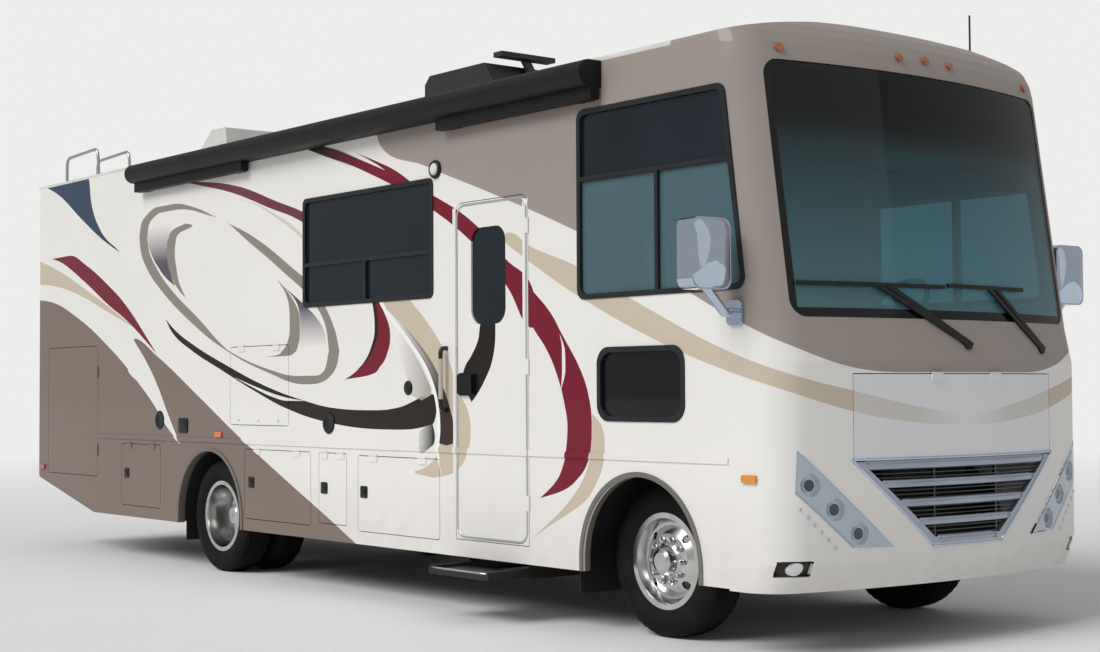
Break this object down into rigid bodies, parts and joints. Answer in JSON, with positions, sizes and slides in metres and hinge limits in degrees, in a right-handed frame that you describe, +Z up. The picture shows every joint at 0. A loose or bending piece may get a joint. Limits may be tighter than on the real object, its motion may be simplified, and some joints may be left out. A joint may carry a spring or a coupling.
{
  "type": "motorhome",
  "caption": "Class A motorhome: hollow coach body with opening entry door, storage bays and hood, slide-out room, steering front wheels, driven rear wheels, awning and ladder.",
  "frame": {"origin": "on the ground, at the middle of the overall length and width", "axes": "+X forward along the coach, +Y to the driver's side, +Z up"},
  "size_m": [9.48, 3.29, 3.735],
  "materials": {
    "gelcoat": "gloss",
    "roof_membrane": "matt",
    "roof_plastic": "satin",
    "tinted_glass": "gloss",
    "windshield_glass": "gloss",
    "black_frame": "satin",
    "chassis_paint": "satin",
    "cast_iron": "rough",
    "exhaust_steel": "satin",
    "bay_plastic": "matt",
    "wheel_liner": "polished",
    "tyre_rubber": "matt",
    "bright_trim": "polished",
    "ladder_aluminium": "satin",
    "lamp_lens": "gloss",
    "wiper_rubber": "matt",
    "cab_plastic": "matt",
    "seat_leather": "soft",
    "cabinet_wood": "satin"
  },
  "bodies": {
    "coach": {"awning": "black_frame", "chassis_frame": "chassis_paint", "dashboard": "cab_plastic", "engine_and_radiator": "cast_iron", "exhaust": "exhaust_steel", "floor": "bay_plastic", "front_axle": "cast_iron", "front_cap": "gelcoat", "fuel_tank": "chassis_paint", "grab_handle": "bright_trim", "grille": "bright_trim", "headlights": "lamp_lens", "hitch_receiver": "chassis_paint", "ladder": "ladder_aluminium", "lamps": "lamp_lens", "leaf_springs": "chassis_paint", "mirrors": "bright_trim", "overhead_cabinet": "cabinet_wood", "rear_axle_and_driveshaft": "cast_iron", "rear_wall": "gelcoat", "roof": "roof_membrane", "roof_equipment": "roof_plastic", "seats": "seat_leather", "side_wall_left": "gelcoat", "side_wall_right": "gelcoat", "step_guides": "chassis_paint", "storage_bays": "bay_plastic", "wheel_housings": "bay_plastic", "window_frames": "black_frame", "window_glass": "tinted_glass", "windshield": "windshield_glass", "wipers": "wiper_rubber"},
    "knuckle_left": {"knuckle_left": "cast_iron"},
    "knuckle_right": {"knuckle_right": "cast_iron"},
    "tie_rod": {"tie_rod": "cast_iron"},
    "wheel_front_left": {"wheel_front_left": "wheel_liner", "tyre_front_left": "tyre_rubber"},
    "wheel_front_right": {"wheel_front_right": "wheel_liner", "tyre_front_right": "tyre_rubber"},
    "wheels_rear_left": {"wheels_rear_left": "wheel_liner", "tyres_rear_left": "tyre_rubber"},
    "wheels_rear_right": {"wheels_rear_right": "wheel_liner", "tyres_rear_right": "tyre_rubber"},
    "steering_wheel": {"steering_wheel": "cab_plastic"},
    "entry_door": {"entry_door": "gelcoat", "entry_door_window": "tinted_glass"},
    "entry_step": {"entry_step": "ladder_aluminium"},
    "hood_panel": {"hood_panel": "gelcoat"},
    "slide_out": {"slide_out": "gelcoat", "slide_out_window": "tinted_glass"},
    "baggage_door_right_1": {"baggage_door_right_1": "gelcoat"},
    "baggage_door_right_2": {"baggage_door_right_2": "gelcoat"},
    "baggage_door_right_3": {"baggage_door_right_3": "gelcoat"},
    "baggage_door_right_4": {"baggage_door_right_4": "gelcoat"},
    "rear_access_door": {"rear_access_door": "gelcoat"},
    "media_hatch": {"media_hatch": "gelcoat"},
    "baggage_door_left_1": {"baggage_door_left_1": "gelcoat"},
    "baggage_door_left_2": {"baggage_door_left_2": "gelcoat"}
  },
  "joints": [
    {"name": "steering_left", "type": "hinge", "parent": "coach", "child": "knuckle_left", "pos_m": [3.4975, 0.8, 0.419], "axis": [0, 0, 1], "range_deg": [-42, 42]},
    {"name": "steering_right", "type": "hinge", "parent": "coach", "child": "knuckle_right", "pos_m": [3.4975, -0.8, 0.419], "axis": [0, 0, 1], "range_deg": [-42, 42]},
    {"name": "tie_rod_turn", "type": "hinge", "parent": "knuckle_left", "child": "tie_rod", "pos_m": [3.2975, 0.8, 0.33], "axis": [0, 0, 1], "range_deg": [-42, 42]},
    {"name": "steering_wheel_turn", "type": "hinge", "parent": "coach", "child": "steering_wheel", "pos_m": [3.8275, 0.52, 1.83], "axis": [-0.766, 0, 0.6428], "range_deg": [-714, 714]},
    {"name": "wheel_front_left_spin", "type": "hinge", "parent": "knuckle_left", "child": "wheel_front_left", "pos_m": [3.4975, 0.965, 0.419], "axis": [0, 1, 0], "continuous": true},
    {"name": "wheel_front_right_spin", "type": "hinge", "parent": "knuckle_right", "child": "wheel_front_right", "pos_m": [3.4975, -0.965, 0.419], "axis": [0, 1, 0], "continuous": true},
    {"name": "wheels_rear_left_spin", "type": "hinge", "parent": "coach", "child": "wheels_rear_left", "pos_m": [-1.3325, 1.09, 0.419], "axis": [0, 1, 0], "continuous": true},
    {"name": "wheels_rear_right_spin", "type": "hinge", "parent": "coach", "child": "wheels_rear_right", "pos_m": [-1.3325, -1.09, 0.419], "axis": [0, 1, 0], "continuous": true},
    {"name": "entry_door_hinge", "type": "hinge", "parent": "coach", "child": "entry_door", "pos_m": [2.5725, -1.2885, 1.48], "axis": [0, 0, 1], "range_deg": [0, 110]},
    {"name": "entry_step_slide", "type": "slide", "parent": "coach", "child": "entry_step", "axis": [0, 1, 0], "range_m": [0, 0.3]},
    {"name": "hood_hinge", "type": "hinge", "parent": "coach", "child": "hood_panel", "pos_m": [4.7343, 0, 1.448], "axis": [0, -1, 0], "range_deg": [0, 80]},
    {"name": "slide_out_travel", "type": "slide", "parent": "coach", "child": "slide_out", "axis": [0, 1, 0], "range_m": [0, 0.54]},
    {"name": "baggage_door_right_1_hinge", "type": "hinge", "parent": "coach", "child": "baggage_door_right_1", "pos_m": [-2.531, -1.2885, 0.946], "axis": [-1, 0, 0], "range_deg": [0, 90]},
    {"name": "baggage_door_right_2_hinge", "type": "hinge", "parent": "coach", "child": "baggage_door_right_2", "pos_m": [-0.3485, -1.2885, 0.946], "axis": [-1, 0, 0], "range_deg": [0, 90]},
    {"name": "baggage_door_right_3_hinge", "type": "hinge", "parent": "coach", "child": "baggage_door_right_3", "pos_m": [0.4045, -1.2885, 0.946], "axis": [-1, 0, 0], "range_deg": [0, 90]},
    {"name": "baggage_door_right_4_hinge", "type": "hinge", "parent": "coach", "child": "baggage_door_right_4", "pos_m": [1.1935, -1.2885, 0.938], "axis": [-1, 0, 0], "range_deg": [0, 90]},
    {"name": "rear_access_door_hinge", "type": "hinge", "parent": "coach", "child": "rear_access_door", "pos_m": [-3.3445, -1.2885, 1.2035], "axis": [0, 0, 1], "range_deg": [0, 120]},
    {"name": "media_hatch_hinge", "type": "hinge", "parent": "coach", "child": "media_hatch", "pos_m": [-0.6085, -1.2885, 1.698], "axis": [-1, 0, 0], "range_deg": [0, 100]},
    {"name": "baggage_door_left_1_hinge", "type": "hinge", "parent": "coach", "child": "baggage_door_left_1", "pos_m": [-0.3485, 1.2885, 0.946], "axis": [1, 0, 0], "range_deg": [0, 90]},
    {"name": "baggage_door_left_2_hinge", "type": "hinge", "parent": "coach", "child": "baggage_door_left_2", "pos_m": [1.0295, 1.2885, 0.946], "axis": [1, 0, 0], "range_deg": [0, 90]}
  ],
  "couplings": [
    {"joint": "steering_right", "follows": "steering_left", "ratio": 1},
    {"joint": "tie_rod_turn", "follows": "steering_left", "ratio": -1},
    {"joint": "steering_wheel_turn", "follows": "steering_left", "ratio": 17}
  ]
}
